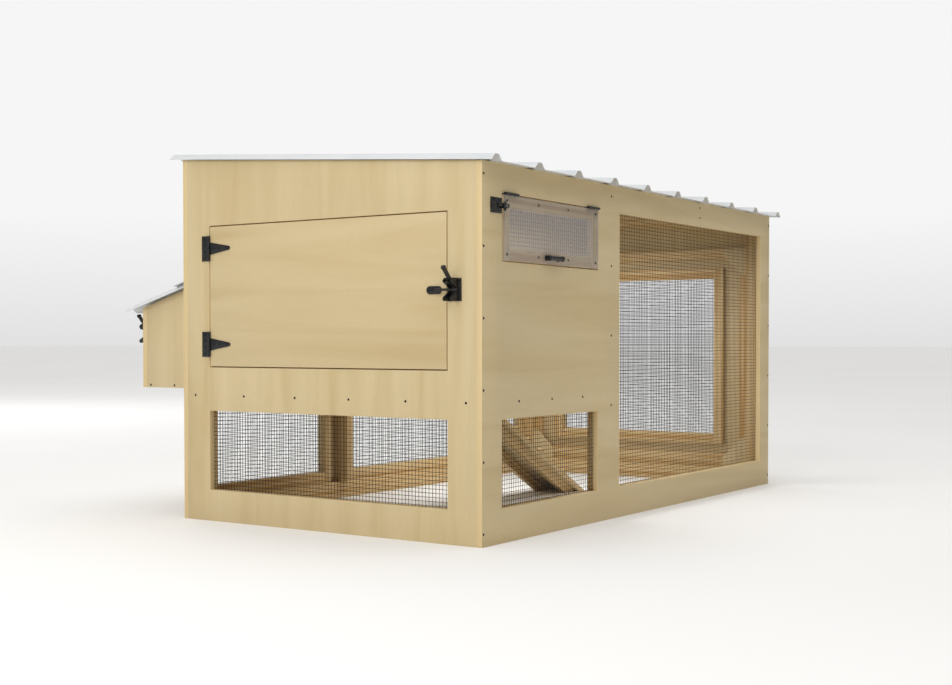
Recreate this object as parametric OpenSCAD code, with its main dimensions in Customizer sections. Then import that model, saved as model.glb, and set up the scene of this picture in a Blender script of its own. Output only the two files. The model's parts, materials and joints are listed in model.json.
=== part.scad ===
// Timber and plywood chicken coop with a raised house, a wire run, a nest box and a metal roof.
// The house stands over the left end, the run takes the rest, and hens walk between them by a ramp.
// All sizes are millimetres. X runs along the long side, Y from the low front to the high back, Z up.
// Pieces are drawn from the near bottom corner and then moved, so the origin is the box's bottom centre.

/* [Body] */
// Length of the body along the long side
coop_l = 2186; // [1800:1:2700]
// Depth of the body from the front panel to the back panel
coop_w = 1219; // [1010:1:1480]
// Height of the front wall
front_h = 1128; // [1010:1:1360]
// Height of the back wall
back_h = 1217; // [1150:1:1470]
// Thickness of the outer plywood
ply_t = 18; // [15:0.5:22]
// Thickness of the inner plywood
thin_ply_t = 12; // [6:0.5:15]

/* [Timber] */
// Thickness of studs, rails and rafters
stud_t = 38; // [30:1:46]
// Width of studs, rails and rafters
stud_w = 64; // [52:1:77]
// Thickness of the strips behind the openings
strip_t = 19; // [15:0.5:23]
// Width of the strips behind the openings
strip_w = 40; // [33:1:48]
// Gap between the ends of timbers that butt together
butt_gap = 0.2; // [0.1:0.1:0.5]
// Thickness of a panel of wire mesh
mesh_t = 1; // [0.8:0.1:1.6]

/* [House] */
// Height of the underside of the floor frame
floor_z = 374; // [320:1:450]
// Distance from the end of the coop to the near edge of a window or hatch
window_x = 108; // [96:1:120]
// Length of the low windows
window_l = 588; // [490:1:600]
// Distance of the run openings from the end of the coop
run_x = 847; // [820:1:1000]
// Height of the front header over the run openings, from the wall's top
run_head = 88; // [88:1:120]
// Width of the pop opening between house and run
pop_w = 305; // [250:1:366]
// Height of the pop opening
pop_h = 330; // [275:1:396]
// Height of the pop opening's sill above the floor
pop_sill = 14; // [10:1:30]
// Height of the roost rails above the floor
roost_rise = 264; // [220:1:316]
// Side of a roost bar
roost_bar = 38; // [32:1:45]

/* [Roof] */
// Distance between roof ribs
rib_pitch = 240.4; // [200:0.1:260]
// Height of a roof rib
rib_h = 19; // [16:1:23]
// Width of a rib at its foot
rib_foot = 56; // [46:1:67]
// Width of a rib at its crest
rib_crest = 19; // [15:1:23]
// Thickness of the roof sheet
sheet_t = 0.8; // [0.6:0.1:1.2]
// Roof overhang beyond the front wall
eave_front = 38; // [30:1:46]
// Roof overhang beyond the back wall
eave_back = 56; // [46:1:67]
// Roof overhang at the near end
verge = 10; // [5:1:14]

/* [Doors] */
// Gap around a door in its opening
door_gap = 4; // [3:0.5:5]
// Height of the clean-out door's sill
clean_sill = 515; // [475:1:560]
// Height of the wall above the clean-out door, at the front
clean_head = 140; // [120:1:168]
// Height of the clean-out and run door latches
latch_z = 754; // [630:1:800]
// Distance of the run door's opening from the long walls
run_door_side = 104; // [100:1:108]
// Height of the wall above the run door, at the front
run_door_head = 156; // [150:1:187]
// Height of the vent flap
vent_h = 204; // [170:1:245]
// Thickness of the vent's clear pane
pane_t = 3; // [2:0.5:4]
// Slope of the ramp's foot from its hinge, along the ground
ramp_run = 756; // [630:1:907]
// Width of the ramp
ramp_w = 190; // [160:1:228]

/* [Nest box] */
// Depth of the nest box behind the back wall
nest_d = 318; // [265:1:382]
// Height of the nest roof at the back wall
nest_wall_z = 813; // [800:1:850]
// Height of the nest roof at the box's front
nest_front_z = 722; // [715:1:760]
// Overhang of the nest roof beyond the box's front
nest_eave = 68; // [56:1:80]
// Overhang of the nest roof at its sides
nest_verge = 25; // [15:1:30]
// Height of the nest opening above the floor
nest_open_h = 268; // [220:1:290]

/* [Hidden] */
$fn = 48;

ply_colour = [0.83, 0.75, 0.58];
pine_colour = [0.85, 0.74, 0.53];
steel_colour = [0.86, 0.87, 0.87];
mesh_colour = [0.08, 0.08, 0.09];
black_colour = [0.06, 0.06, 0.06];
pane_colour = [0.62, 0.60, 0.56, 0.6];

// Overlap of a cutting solid past the faces it cuts
cut = 2;
// Clearance between the roof sheets and what they lie on
roof_seat = 0.15;
// The roof's overhang past the run's end
far_verge = 30.8;

// Roof plane: the height of the underside of the roof at a depth y
roof_slope = atan((back_h - front_h) / coop_w);
function roof_z(y) = front_h + y * tan(roof_slope);

// Inner faces of the long walls, and the layers of mesh and strip behind an opening
inner_back = coop_w - ply_t;
strip_in = ply_t + mesh_t;
layer_in = strip_in + strip_t;

// Low windows stand on the base rails with one strip between
window_z0 = stud_w + strip_w;
window_z1 = floor_z - 4;
window_x1 = window_x + window_l;

// Floor: frame on edge, plywood on top
floor_frame_top = floor_z + stud_w;
floor_top = floor_frame_top + ply_t;

// The partition posts stand against the run opening's near strips
part_x = run_x - strip_w - stud_t;
part_x1 = part_x + stud_t;
far_post_x = coop_l - ply_t - stud_t;
run_x1 = far_post_x - strip_w;
run_z1 = front_h - run_head;
// Depth of timber left over the run opening, under the rafters
head_strip_w = run_head - stud_w;
mid_rafter_x = (part_x1 + far_post_x) / 2 + 5;
rafter_xs = [ply_t, part_x, mid_rafter_x, far_post_x];

// End openings
end_window_y0 = ply_t + stud_w + strip_w;
end_window_y1 = coop_w - end_window_y0;
clean_y0 = end_window_y0;
clean_y1 = end_window_y1;
clean_z1 = front_h - clean_head;
rd_y0 = run_door_side;
rd_y1 = coop_w - run_door_side;
rd_z0 = window_z0 + 1;
rd_z1 = front_h - run_door_head;
// Door stops reach this far into the run door's opening
stop_lap = 15;
stop_head = 28;
gusset_leg = 86;
// The run door's ring, and the strips that hold its mesh
rd_stile = 132;
rd_rail = 100;
rd_strip = 45;
rd_side_in = rd_stile - rd_strip;
rd_rail_in = rd_rail - rd_strip;

// Vent flap
vent_z1 = front_h - run_head + 2;
vent_z0 = vent_z1 - vent_h;
vent_rail = 38;
vent_axis_y = -pane_t - 4.3;
vent_axis_z = vent_z1 - 1;
vent_hinge_l = 76;
vent_leaf_t = 1.1;
vent_hinge_xs = [window_x + 5, window_x1 - 5 - vent_hinge_l];
bolt_y = -10;
bolt_z = vent_z1 - 39;
bolt_r = 4;
keeper_r = -bolt_y - pane_t;

// T-hinges: axis stands off the face by the knuckle's radius
knuckle_r = 5;
hinge_pin_r = 2.45;
hinge_bore_r = 2.5;
leaf_t = 2.5;
hinge_half = 42;
strap_half = 20;
strap_l = 94;
nest_hinge_k = 0.7;
clean_hinge_zs = [clean_sill + 77, clean_z1 - 76];
run_hinge_zs = [rd_z0 + 130, rd_z1 - 130];

// Gravity latch, from the middle of its plate: X out of the wall, Y towards the door, Z up
latch_plate_w = 49;
latch_plate_h = 68;
latch_plate_t = 3;
latch_out = 42;
latch_edge = 2;
latch_bar_x = 16;
latch_bar_r = 4;
arm_pivot = [20, 22];
arm_pin_r = 3;
arm_bore_r = 3.05;
arm_hub_r = 7;
arm_t = 12;
pawl_l = 25;
pawl_turn = -8.5;
lever_l = 56;
lever_turn = 47;
lever_r = 6.5;
cheek_t = 3;
cheek_gap = 24;

// Nest box behind the house
nest_slope = atan((nest_wall_z - nest_front_z) / nest_d);
function nest_z(y) = nest_wall_z - (y - coop_w) * tan(nest_slope);
nest_y1 = coop_w + nest_d;
nest_inner_y1 = nest_y1 - ply_t;
nest_in_x0 = window_x + ply_t;
nest_in_x1 = window_x1 - ply_t;
nest_roof_l = (nest_d + nest_eave) / cos(nest_slope);
nest_roof_w = window_l + 2 * nest_verge;
nest_door_x0 = window_x + 62;
nest_door_x1 = window_x1 - 60;
nest_door_z0 = floor_top + 30;
nest_door_z1 = nest_front_z - 32;
nest_latch_z = nest_front_z - 91;
nest_hinge_zs = [nest_door_z0 + 42, nest_door_z1 - 42];

// Ramp: hinged on the floor frame's end, its foot on the ground
ramp_axis_x = part_x + 5;
ramp_axis_z = floor_z + 31;
ramp_angle = atan(ramp_axis_z / ramp_run);
ramp_len = norm([ramp_run, ramp_axis_z]);
ramp_clear = 1;
ramp_knuckle_r = 4;
ramp_t = 19;
ramp_leaf_l = 120;
ramp_start = 12;
cleat_pitch = 98;
cleat_t = 12;
cleat_w = 22;

// Extents, for the origin
out_max = arm_pivot[0] + lever_l * cos(lever_turn) + lever_r;
ext_y0 = -eave_front - (rib_h + sheet_t) * sin(roof_slope);
ext_y1 = nest_y1 + nest_eave + (rib_h + sheet_t) * sin(nest_slope);
origin_y = (ext_y0 + ext_y1) / 2;

module place() { translate([-coop_l / 2, -origin_y, 0]) children(); }

// A block between two corners
module block(a, b) { translate(a) cube(b - a); }

// A profile drawn in Y and Z, pushed along X from x0 to x1
module along_x(x0, x1) {
    translate([x0, 0, 0]) rotate([90, 0, 90]) linear_extrude(x1 - x0) children();
}

// What stands on the front wall, and its twin on the back wall
module both_walls() {
    children();
    translate([0, coop_w, 0]) mirror([0, 1, 0]) children();
}

// Wall fittings: drawn with X out of the wall and Y towards the piece they hold
module on_end(y, z) { translate([0, y, z]) mirror([1, 0, 0]) children(); }
module on_run_end(y, z) { translate([coop_l, y, z]) children(); }
module on_nest(x, z) { translate([x, nest_y1, z]) mirror([1, -1, 0]) children(); }

// A timber under the roof from y0 to y1, with its top cut to the roof's slope less drop
module sloped_timber(x0, x1, y0, y1, z0, drop) {
    along_x(x0, x1)
        polygon([[y0, z0], [y1, z0], [y1, roof_z(y1) - drop], [y0, roof_z(y0) - drop]]);
}

// ---- Plywood panels ----

module long_panel(height) {
    difference() {
        cube([coop_l, ply_t, height]);
        block([window_x, -cut, window_z0], [window_x1, ply_t + cut, window_z1]);
        block([run_x, -cut, window_z0], [run_x1, ply_t + cut, run_z1]);
    }
}

module front_panel() {
    color(ply_colour) difference() {
        long_panel(front_h);
        block([window_x, -cut, vent_z0], [window_x1, ply_t + cut, vent_z1]);
    }
}

module back_panel() {
    color(ply_colour) difference() {
        translate([0, coop_w, 0]) mirror([0, 1, 0]) long_panel(roof_z(inner_back));
        block([nest_in_x0, inner_back - cut, floor_top],
            [nest_in_x1, coop_w + cut, floor_top + nest_open_h]);
    }
}

module end_blank(x0) {
    sloped_timber(x0, x0 + ply_t, ply_t, inner_back, 0, 0);
}

module end_panel() {
    color(ply_colour) difference() {
        end_blank(0);
        block([-cut, end_window_y0, window_z0], [ply_t + cut, end_window_y1, window_z1]);
        block([-cut, clean_y0, clean_sill], [ply_t + cut, clean_y1, clean_z1]);
    }
}

module run_end_panel() {
    color(ply_colour) difference() {
        end_blank(coop_l - ply_t);
        block([coop_l - ply_t - cut, rd_y0, rd_z0], [coop_l + cut, rd_y1, rd_z1]);
    }
}

module house_floor() {
    color(ply_colour) difference() {
        block([ply_t, ply_t, floor_frame_top], [part_x, inner_back, floor_top]);
        both_walls() block([ply_t - cut, ply_t - cut, floor_frame_top - cut],
            [ply_t + stud_t + 1, ply_t + stud_w + 1, floor_top + cut]);
    }
}

module partition_panel() {
    color(ply_colour) difference() {
        sloped_timber(part_x - thin_ply_t, part_x, ply_t, inner_back, floor_top, 0);
        block([part_x - thin_ply_t - cut, (coop_w - pop_w) / 2, floor_top + pop_sill],
            [part_x + cut, (coop_w + pop_w) / 2, floor_top + pop_sill + pop_h]);
    }
}

// ---- Timber ----

module base_rails() {
    color(pine_colour) {
        both_walls() block([ply_t + stud_t, ply_t, 0], [far_post_x, ply_t + stud_t, stud_w]);
        for (x = [ply_t, far_post_x])
            block([x, ply_t + stud_w, 0], [x + stud_t, inner_back - stud_w, stud_w]);
    }
}

module posts() {
    color(pine_colour)
        for (x = [ply_t, part_x, far_post_x], y = [ply_t, inner_back - stud_w])
            sloped_timber(x, x + stud_t, y, y + stud_w, x == part_x ? stud_w : 0,
                stud_w + butt_gap);
}

module floor_frame() {
    mid_y = (coop_w - stud_t) / 2;
    color(pine_colour) {
        both_walls() block([ply_t + stud_t, ply_t, floor_z],
            [part_x, ply_t + stud_t, floor_frame_top]);
        block([ply_t, ply_t + stud_w, floor_z],
            [ply_t + stud_t, inner_back - stud_w, floor_frame_top]);
        block([part_x - stud_t, ply_t + stud_t + butt_gap, floor_z],
            [part_x, inner_back - stud_t - butt_gap, floor_frame_top]);
        block([ply_t + stud_t + butt_gap, mid_y, floor_z],
            [part_x - stud_t - butt_gap, mid_y + stud_t, floor_frame_top]);
    }
}

module rafters() {
    color(pine_colour) for (x = rafter_xs) along_x(x, x + stud_t)
        polygon([[ply_t, roof_z(ply_t) - stud_w], [inner_back, roof_z(inner_back) - stud_w],
            [inner_back, roof_z(inner_back)], [ply_t, roof_z(ply_t)]]);
}

module eave_blocks() {
    bays = [[ply_t + stud_t, part_x - thin_ply_t], [part_x1, mid_rafter_x],
        [mid_rafter_x + stud_t, far_post_x]];
    color(pine_colour) for (bay = bays) {
        sloped_timber(bay[0], bay[1], ply_t, ply_t + stud_t, roof_z(ply_t) - stud_t, 0);
        sloped_timber(bay[0], bay[1], inner_back - stud_t, inner_back,
            roof_z(inner_back - stud_t) - stud_t, 0);
    }
}

// Strips round an opening in a long wall: two uprights with rails between their ends
module wall_strips(x0, x1, z0, z1, foot, head) {
    for (x = [x0 - strip_w, x1])
        block([x, strip_in, z0 - foot], [x + strip_w, layer_in, z1 + head]);
    block([x0 + butt_gap, strip_in, z0 - foot], [x1 - butt_gap, layer_in, z0]);
    if (head > 0)
        block([x0 + butt_gap, strip_in, z1], [x1 - butt_gap, layer_in, z1 + head]);
}

module end_window_strips() {
    for (y = [end_window_y0 - strip_w, end_window_y1])
        block([strip_in, y, stud_w], [layer_in, y + strip_w, floor_z]);
    block([strip_in, end_window_y0 + butt_gap, stud_w],
        [layer_in, end_window_y1 - butt_gap, window_z0]);
}

// Stops behind the clean-out door's edges, on the house floor
module clean_out_stops() {
    x1 = ply_t + strip_t;
    y0 = clean_y0 + stop_lap;
    y1 = clean_y1 - stop_lap;
    top = clean_z1 + strip_w - stop_lap;
    block([ply_t, ply_t + stud_w, floor_top], [x1, y0, top]);
    block([ply_t, y1, floor_top], [x1, inner_back - stud_w, top]);
    block([ply_t, y0 + butt_gap, floor_top], [x1, y1 - butt_gap, clean_sill + stop_lap]);
    block([ply_t, y0 + butt_gap, clean_z1 - stop_lap], [x1, y1 - butt_gap, top]);
}

module door_stops() {
    x0 = coop_l - ply_t - strip_t;
    x1 = coop_l - ply_t;
    stop_y0 = rd_y0 + stop_lap;
    stop_y1 = rd_y1 - stop_lap;
    block([x0, ply_t + stud_w, stud_w], [x1, stop_y0, rd_z1 + stop_head]);
    block([x0, stop_y1, stud_w], [x1, inner_back - stud_w, rd_z1 + stop_head]);
    block([x0, stop_y0 + butt_gap, stud_w], [x1, stop_y1 - butt_gap, rd_z0 + stop_lap]);
    block([x0, stop_y0 + butt_gap, rd_z1 - stop_lap],
        [x1, stop_y1 - butt_gap, rd_z1 + stop_head]);
}

module opening_strips() {
    color(pine_colour) {
        both_walls() {
            wall_strips(window_x, window_x1, window_z0, floor_z, strip_w, 0);
            wall_strips(run_x, run_x1, window_z0, run_z1, strip_w, head_strip_w);
        }
        wall_strips(window_x, window_x1, vent_z0, vent_z1, strip_w, head_strip_w - 2);
        end_window_strips();
        clean_out_stops();
        door_stops();
    }
}

// Gussets brace the four corners of the run door's opening, inside the stops
module corner_gussets() {
    x1 = coop_l - ply_t - strip_t;
    outer_y = rd_y0 - ply_t - stud_w;
    color(ply_colour) both_walls() along_x(x1 - thin_ply_t, x1) {
        polygon([[rd_y0 - outer_y, rd_z1 + stop_head], [rd_y0 + gusset_leg, rd_z1 + stop_head],
            [rd_y0 + gusset_leg, rd_z1], [rd_y0, rd_z1 - gusset_leg],
            [rd_y0 - outer_y, rd_z1 - gusset_leg]]);
        polygon([[rd_y0 - outer_y, stud_w], [rd_y0 + gusset_leg, stud_w],
            [rd_y0 + gusset_leg, rd_z0], [rd_y0, rd_z0 + gusset_leg],
            [rd_y0 - outer_y, rd_z0 + gusset_leg]]);
    }
}

module roost_rails() {
    z = floor_top + roost_rise;
    color(pine_colour) both_walls() difference() {
        block([ply_t + strip_t, ply_t + stud_w, z],
            [part_x - thin_ply_t, ply_t + stud_w + strip_t, z + stud_w]);
        for (x = roost_xs()) block([x - 0.5, ply_t + stud_w - cut, z + stud_w - roost_bar / 2],
            [x + roost_bar + 0.5, ply_t + stud_w + strip_t + cut, z + stud_w + cut]);
    }
}

function roost_xs() = [ply_t + (part_x - ply_t) / 3 - roost_bar / 2,
    ply_t + (part_x - ply_t) * 2 / 3 - roost_bar / 2];

// Roost bars lie in the rails' notches, with their upper edges rounded
module roost_bars() {
    z = floor_top + roost_rise + stud_w - roost_bar / 2;
    r = roost_bar / 4;
    color(pine_colour) for (x = roost_xs())
        translate([x, ply_t + stud_w, z]) rotate([90, 0, 0]) mirror([0, 0, 1])
            linear_extrude(coop_w - 2 * (ply_t + stud_w)) {
                square([roost_bar, roost_bar - r]);
                translate([r, 0]) square([roost_bar - 2 * r, roost_bar]);
                for (cx = [r, roost_bar - r]) translate([cx, roost_bar - r]) circle(r);
            }
}

// ---- Roof ----

// Underside of a rib as points across it; lift raises a lapping rib by one sheet
function rib_points(x, lift) = [[x - rib_foot / 2, 0], [x - rib_crest / 2, rib_h + lift],
    [x + rib_crest / 2, rib_h + lift], [x + rib_foot / 2, 0]];

// A sheet's profile: the underside out and the top back, one thickness higher
module sheet_profile(under) {
    count = len(under);
    polygon(concat(under, [for (i = [count - 1 : -1 : 0]) under[i] + [0, sheet_t]]));
}

// The first rib's foot stands in a little from the near edge. As many ribs follow as the far
// edge leaves room for, and each sheet spans a third of them.
first_rib_x = -verge + 3.2 + rib_foot / 2;
rib_gaps = floor((coop_l + far_verge - rib_foot / 2 - 1 - first_rib_x) / rib_pitch);
function seam(k) = floor(rib_gaps * k / 3);

// Sheets 0 and 2 end in a plain pan on the outside; each later sheet laps the rib it shares
module roof_sheet(k) {
    xs = [for (i = [seam(k) : seam(k + 1)]) first_rib_x + i * rib_pitch];
    far = xs[len(xs) - 1];
    lap = k > 0
        ? [[xs[0] - rib_foot / 2 - 12, 0.1 + sheet_t], [xs[0] - rib_foot / 2, 0.1 + sheet_t],
            [xs[0] - rib_crest / 2, rib_h + 0.1 + sheet_t],
            [xs[0] + rib_crest / 2 + 1, rib_h + 0.1 + sheet_t], [xs[0] + rib_foot / 2 + 1, 0]]
        : concat([[-verge, 0]], rib_points(xs[0], 0));
    middle = [for (i = [1 : len(xs) - 2]) each rib_points(xs[i], 0)];
    last = k == 2 ? concat(rib_points(far, 0), [[coop_l + far_verge, 0]])
        : [for (i = [0 : 2]) rib_points(far, 0)[i]];
    color(steel_colour) on_roof() translate([0, coop_w / cos(roof_slope) + eave_back, 0])
        rotate([90, 0, 0]) linear_extrude(coop_w / cos(roof_slope) + eave_back + eave_front)
            sheet_profile(concat(lap, middle, last));
}

// Drawn flat on the roof plane, with Y up the slope from the front wall
module on_roof() { translate([0, 0, front_h + roof_seat]) rotate([roof_slope, 0, 0]) children(); }

module roof_sheet_1() { roof_sheet(0); }
module roof_sheet_2() { roof_sheet(1); }
module roof_sheet_3() { roof_sheet(2); }

module roof_screws() {
    y_back = (inner_back - stud_t / 2) / cos(roof_slope);
    color(steel_colour) on_roof()
        for (i = [0 : rib_gaps - 1], y = [ply_t + stud_t / 2, y_back])
            translate([first_rib_x + (i + 0.25) * rib_pitch, y, sheet_t]) {
                cylinder(r = 7, h = 1.5);
                translate([0, 0, 1.5]) cylinder(r = 4.5, h = 5, $fn = 6);
            }
}

// ---- Screws in the walls ----

module screw_head() { cylinder(r = 4, h = 1.2); }

module wall_screws() {
    column_zs = [for (i = [0 : 5]) 38 + i * (front_h - 76) / 5];
    part_zs = [for (i = [0 : 3]) floor_z + 13 + i * (front_h - 37 - floor_z - 13) / 3];
    frame_z = floor_z + stud_w - 17;
    color(black_colour) {
        both_walls() rotate([90, 0, 0]) {
            for (x = [ply_t / 2, coop_l - ply_t / 2], z = column_zs)
                translate([x, z, 0]) screw_head();
            for (z = part_zs) translate([part_x + stud_t / 2, z, 0]) screw_head();
            for (z = [front_h - 57, front_h - 19])
                translate([mid_rafter_x + stud_t / 2, z, 0]) screw_head();
        }
        rotate([90, 0, 0]) for (i = [1 : 3])
            translate([window_x + i * 195 - 100, frame_z, 0]) screw_head();
        for (i = [0 : 5]) translate([0, 56 + i * (coop_w - 112) / 5, frame_z])
            rotate([0, -90, 0]) screw_head();
        for (z = column_zs, y = [ply_t + stud_w / 2, coop_w - ply_t - stud_w / 2])
            translate([coop_l, y, z]) rotate([0, 90, 0]) screw_head();
        for (i = [0 : 2]) {
            y = coop_w + 40 + i * (nest_d - 80) / 2;
            translate([window_x, y, floor_frame_top + ply_t / 2])
                rotate([0, -90, 0]) screw_head();
            translate([window_x1, y, floor_frame_top + ply_t / 2])
                rotate([0, 90, 0]) screw_head();
        }
    }
}

// ---- Wire mesh ----

module window_meshes() {
    color(mesh_colour) {
        both_walls() block([window_x - strip_w, ply_t, stud_w],
            [window_x1 + strip_w, strip_in, floor_z]);
        block([ply_t, end_window_y0 - strip_w, stud_w],
            [strip_in, end_window_y1 + strip_w, floor_z]);
    }
}

module run_meshes() {
    color(mesh_colour) both_walls()
        block([part_x1, ply_t, stud_w], [far_post_x, strip_in, run_z1 + head_strip_w]);
}

module vent_mesh() {
    color(mesh_colour) block([window_x - strip_w, ply_t, vent_z0 - strip_w],
        [window_x1 + strip_w, strip_in, vent_z1 + head_strip_w - 2]);
}

// ---- T-hinges ----

// Fixed leaf: a plate on the wall and two knuckles, k times the full size
module hinge_plate(k) {
    difference() {
        union() {
            block([0, 6 * k, -hinge_half * k], [leaf_t * k, 34 * k, hinge_half * k]);
            for (side = [0, 1]) mirror([0, 0, side])
                translate([0, 0, (strap_half + 0.4) * k]) {
                    cube([leaf_t * k, 6 * k, (hinge_half - strap_half - 0.4) * k]);
                    translate([knuckle_r * k, 0, 0])
                        cylinder(r = knuckle_r * k, h = (hinge_half - strap_half - 0.4) * k);
                }
        }
        translate([knuckle_r * k, 0, -hinge_half * k - cut])
            cylinder(r = hinge_bore_r * k, h = 2 * hinge_half * k + 2 * cut);
    }
}

// Moving strap: the middle knuckle and a long leaf that tapers to a round tip
module hinge_strap(k) {
    tip_r = 6.5;
    difference() {
        union() {
            rotate([90, 0, 90]) linear_extrude(leaf_t * k) scale(k) {
                polygon([[0, -strap_half], [0, strap_half], [-8, strap_half],
                    [tip_r - strap_l, tip_r], [tip_r - strap_l, -tip_r], [-8, -strap_half]]);
                translate([tip_r - strap_l, 0]) circle(tip_r);
            }
            translate([knuckle_r * k, 0, -strap_half * k])
                cylinder(r = knuckle_r * k, h = 2 * strap_half * k);
        }
        translate([knuckle_r * k, 0, -strap_half * k - cut])
            cylinder(r = hinge_bore_r * k, h = 2 * strap_half * k + 2 * cut);
    }
}

module hinge_pin(k) {
    translate([knuckle_r * k, 0, -hinge_half * k])
        cylinder(r = hinge_pin_r * k, h = 2 * hinge_half * k);
}

clean_hinge_y = clean_y1 - door_gap / 2;
run_hinge_y = rd_y1 - door_gap / 2;
nest_hinge_x = nest_door_x1 - door_gap / 2;

module hinge_plates() {
    color(black_colour) {
        for (z = clean_hinge_zs) on_end(clean_hinge_y, z) hinge_plate(1);
        for (z = run_hinge_zs) on_run_end(run_hinge_y, z) hinge_plate(1);
        for (z = nest_hinge_zs) on_nest(nest_hinge_x, z) hinge_plate(nest_hinge_k);
    }
}

module hinge_pins() {
    color(black_colour) {
        for (z = clean_hinge_zs) on_end(clean_hinge_y, z) hinge_pin(1);
        for (z = run_hinge_zs) on_run_end(run_hinge_y, z) hinge_pin(1);
        for (z = nest_hinge_zs) on_nest(nest_hinge_x, z) hinge_pin(nest_hinge_k);
    }
}

module clean_out_straps() {
    color(black_colour) for (z = clean_hinge_zs) on_end(clean_hinge_y, z) hinge_strap(1);
}

module run_door_straps() {
    color(black_colour) for (z = run_hinge_zs) on_run_end(run_hinge_y, z) hinge_strap(1);
}

module nest_straps() {
    color(black_colour)
        for (z = nest_hinge_zs) on_nest(nest_hinge_x, z) hinge_strap(nest_hinge_k);
}

// ---- Gravity latches ----

// A shape drawn across X and Z, centred on Y
module across_y(thick) {
    rotate([90, 0, 0]) translate([0, 0, -thick / 2]) linear_extrude(thick) children();
}

module latch_body() {
    half_h = latch_plate_h / 2;
    block([0, -latch_plate_w / 2, -half_h], [latch_plate_t, latch_plate_w / 2, half_h]);
    for (y = [-1, 1]) translate([0, y * (cheek_gap + cheek_t) / 2, 0]) across_y(cheek_t)
        polygon([[0, -half_h], [latch_out - 3, -half_h], [latch_out, -half_h + 5],
            [latch_out, -24], [11, -5], [11, 5], [latch_out, 22], [latch_out, 27],
            [latch_out - 8, half_h], [0, half_h]]);
    translate([arm_pivot[0], 0, arm_pivot[1]]) rotate([90, 0, 0])
        translate([0, 0, -cheek_gap / 2 - cheek_t - 2])
            cylinder(r = arm_pin_r, h = cheek_gap + 2 * cheek_t + 4);
}

// The arm: a hub on the pin, a pawl that drops before the bar and a thumb lever
module latch_arm() {
    translate([arm_pivot[0], 0, arm_pivot[1]]) difference() {
        union() {
            across_y(arm_t) {
                circle(arm_hub_r);
                rotate(pawl_turn) translate([0, -3.5]) square([pawl_l, 7]);
                rotate(pawl_turn) translate([pawl_l, 0]) circle(3.5);
            }
            across_y(10) rotate(lever_turn) {
                translate([0, -4.5]) square([lever_l, 9]);
                translate([lever_l, 0]) circle(lever_r);
            }
        }
        rotate([90, 0, 0]) translate([0, 0, -arm_t]) cylinder(r = arm_bore_r, h = 2 * arm_t);
    }
}

// The striker: a base on the door and a bent bar that reaches into the latch's mouth
module latch_striker() {
    base_y0 = latch_plate_w / 2 + 22;
    base_y1 = base_y0 + 55;
    bar_end = -cheek_gap / 2 - cheek_t - 3;
    rotate([90, 0, 90]) linear_extrude(latch_plate_t) {
        translate([base_y0 + 12, -12]) square([base_y1 - base_y0 - 24, 24]);
        for (y = [base_y0 + 12, base_y1 - 12]) translate([y, 0]) circle(12);
    }
    translate([latch_bar_x, bar_end, 0]) rotate([-90, 0, 0])
        cylinder(r = latch_bar_r, h = base_y0 + 14 - bar_end);
    translate([0, base_y0 + 14, 0]) rotate([0, 90, 0]) cylinder(r = latch_bar_r, h = latch_bar_x);
    translate([latch_bar_x, base_y0 + 14, 0]) sphere(latch_bar_r);
}

clean_latch_y = clean_y0 - latch_edge - latch_plate_w / 2;
run_latch_y = rd_y0 - latch_edge - latch_plate_w / 2;
nest_latch_x = nest_door_x0 - latch_edge - latch_plate_w / 2;

module latch_bodies() {
    color(black_colour) {
        on_end(clean_latch_y, latch_z) latch_body();
        on_run_end(run_latch_y, latch_z) latch_body();
        on_nest(nest_latch_x, nest_latch_z) latch_body();
    }
}

module clean_out_arm() { color(black_colour) on_end(clean_latch_y, latch_z) latch_arm(); }
module run_door_arm() { color(black_colour) on_run_end(run_latch_y, latch_z) latch_arm(); }
module nest_arm() { color(black_colour) on_nest(nest_latch_x, nest_latch_z) latch_arm(); }

module clean_out_striker() {
    color(black_colour) on_end(clean_latch_y, latch_z) latch_striker();
}

module run_door_striker() {
    color(black_colour) on_run_end(run_latch_y, latch_z) latch_striker();
}

module nest_striker() {
    color(black_colour) on_nest(nest_latch_x, nest_latch_z) latch_striker();
}

// ---- Doors ----

module clean_out_door() {
    color(ply_colour) block([0, clean_y0 + door_gap, clean_sill + door_gap],
        [ply_t, clean_y1 - door_gap, clean_z1 - door_gap]);
}

module run_door_ring() {
    color(ply_colour) difference() {
        block([coop_l - ply_t, rd_y0 + door_gap, rd_z0 + door_gap],
            [coop_l, rd_y1 - door_gap, rd_z1 - door_gap]);
        block([coop_l - ply_t - cut, rd_y0 + rd_stile, rd_z0 + rd_rail],
            [coop_l + cut, rd_y1 - rd_stile, rd_z1 - rd_rail]);
    }
}

module run_door_frame() {
    x0 = coop_l - ply_t - mesh_t - strip_t;
    x1 = coop_l - ply_t - mesh_t;
    color(pine_colour) {
        for (y = [rd_y0 + rd_side_in, rd_y1 - rd_stile])
            block([x0, y, rd_z0 + rd_rail_in], [x1, y + rd_strip, rd_z1 - rd_rail_in]);
        for (z = [rd_z0 + rd_rail_in, rd_z1 - rd_rail])
            block([x0, rd_y0 + rd_stile + butt_gap, z],
                [x1, rd_y1 - rd_stile - butt_gap, z + rd_strip]);
    }
}

module run_door_mesh() {
    color(mesh_colour) block([coop_l - strip_in, rd_y0 + rd_side_in, rd_z0 + rd_rail_in],
        [coop_l - ply_t, rd_y1 - rd_side_in, rd_z1 - rd_rail_in]);
}

// ---- Vent flap ----

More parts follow.
